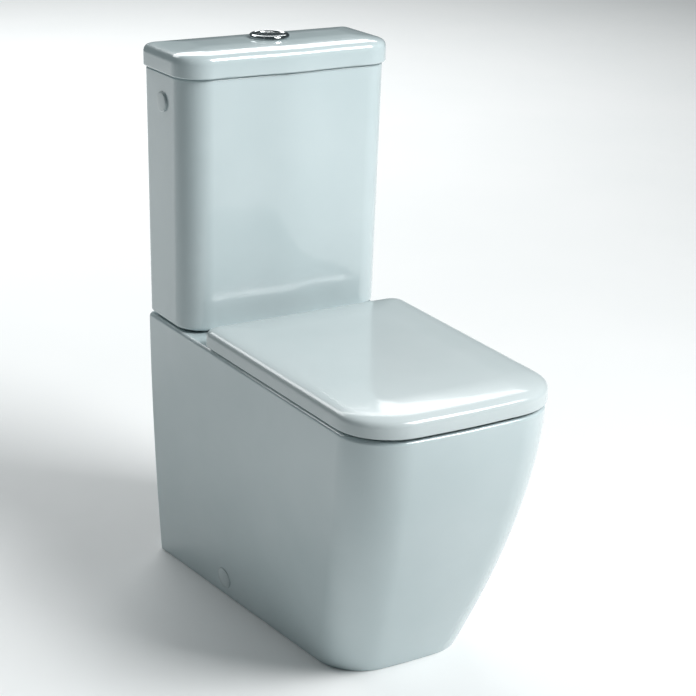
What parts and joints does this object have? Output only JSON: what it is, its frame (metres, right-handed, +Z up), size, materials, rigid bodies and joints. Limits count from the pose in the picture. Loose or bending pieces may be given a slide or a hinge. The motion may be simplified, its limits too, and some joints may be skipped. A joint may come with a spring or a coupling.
{
  "type": "close coupled toilet",
  "caption": "Back to wall close coupled toilet with a ceramic pan and cistern, wrap-over seat lid and seat ring, dual flush button and working flush and fill valves.",
  "frame": {"origin": "centre of the whole object's bounding box, on the floor", "axes": "+X towards the user's right when facing the front of the toilet, -Y towards the front, +Y towards the wall, +Z up"},
  "size_m": [0.348, 0.6255, 0.824],
  "materials": {
    "china": "gloss white glaze",
    "white_plastic": "gloss white moulded",
    "chrome": "polished",
    "steel": "zinc plated",
    "brass": "satin",
    "valve_plastic": "matt moulded",
    "grey_plastic": "matt moulded",
    "rubber": "matt"
  },
  "bodies": {
    "root": {"cistern_tank": "china", "coupling_bolt_left": "brass", "coupling_bolt_right": "brass", "coupling_washer_left": "rubber", "coupling_washer_right": "rubber", "coupling_wing_nut_left": "brass", "coupling_wing_nut_right": "brass", "fill_valve": "valve_plastic", "fill_valve_nut": "grey_plastic", "fill_valve_washer": "rubber", "fixing_cap_left": "white_plastic", "fixing_cap_right": "white_plastic", "fixing_screw_left": "steel", "fixing_screw_right": "steel", "floor_bracket_left": "steel", "floor_bracket_right": "steel", "flush_valve_body": "valve_plastic", "flush_valve_head": "valve_plastic", "flush_valve_nut": "grey_plastic", "flush_valve_washer": "rubber", "hinge_bolt_left": "steel", "hinge_bolt_right": "steel", "hinge_nut_left": "grey_plastic", "hinge_nut_right": "grey_plastic", "hinge_post_left": "chrome", "hinge_post_right": "chrome", "hinge_washer_left": "rubber", "hinge_washer_right": "rubber", "lever_pin": "steel", "outlet_connector": "rubber", "pan": "china", "side_plug_left": "white_plastic", "side_plug_nut_left": "grey_plastic", "side_plug_nut_right": "grey_plastic", "side_plug_right": "white_plastic", "tank_gasket": "rubber"},
    "seat": {"seat_ring": "white_plastic", "hinge_pin_left": "steel", "hinge_pin_right": "steel", "seat_buffer_front_left": "rubber", "seat_buffer_front_right": "rubber", "seat_buffer_back_left": "rubber", "seat_buffer_back_right": "rubber"},
    "lid": {"seat_lid": "white_plastic", "lid_buffer_left": "rubber", "lid_buffer_right": "rubber"},
    "cover": {"cistern_cover": "china", "button_bezel": "chrome", "bezel_nut": "grey_plastic"},
    "full_button": {"full_flush_button": "chrome", "full_flush_rod": "grey_plastic"},
    "half_button": {"half_flush_button": "chrome", "half_flush_rod": "grey_plastic"},
    "overflow": {"overflow_tube": "grey_plastic", "flush_seal": "rubber"},
    "float": {"float_cup": "grey_plastic"},
    "lever": {"float_lever": "valve_plastic"}
  },
  "joints": [
    {"name": "seat_hinge", "type": "hinge", "parent": "root", "child": "seat", "pos_m": [0, 0.12475, 0.42], "axis": [-1, 0, 0], "range_deg": [0, 92]},
    {"name": "lid_hinge", "type": "hinge", "parent": "seat", "child": "lid", "pos_m": [0, 0.12475, 0.42], "axis": [1, 0, 0], "range_deg": [-92, 0]},
    {"name": "cover_lift", "type": "slide", "parent": "root", "child": "cover", "axis": [0, 0, 1], "range_m": [0, 0.25]},
    {"name": "full_flush_press", "type": "slide", "parent": "cover", "child": "full_button", "axis": [0, 0, -1], "range_m": [0, 0.006], "stiffness_N_per_m": 400, "springref_m": -0.003},
    {"name": "half_flush_press", "type": "slide", "parent": "cover", "child": "half_button", "axis": [0, 0, -1], "range_m": [0, 0.006], "stiffness_N_per_m": 400, "springref_m": -0.003},
    {"name": "overflow_lift", "type": "slide", "parent": "root", "child": "overflow", "axis": [0, 0, 1], "range_m": [0, 0.018]},
    {"name": "float_rise", "type": "slide", "parent": "root", "child": "float", "axis": [0, 0, 1], "range_m": [0, 0.012]},
    {"name": "lever_swing", "type": "hinge", "parent": "root", "child": "lever", "pos_m": [-0.1325, 0.24275, 0.6945], "axis": [0, -1, 0], "range_deg": [0, 21]}
  ],
  "couplings": [
    {"joint": "overflow_lift", "follows": "full_flush_press", "ratio": 3},
    {"joint": "lever_swing", "follows": "float_rise", "rad_per_m": 30}
  ]
}
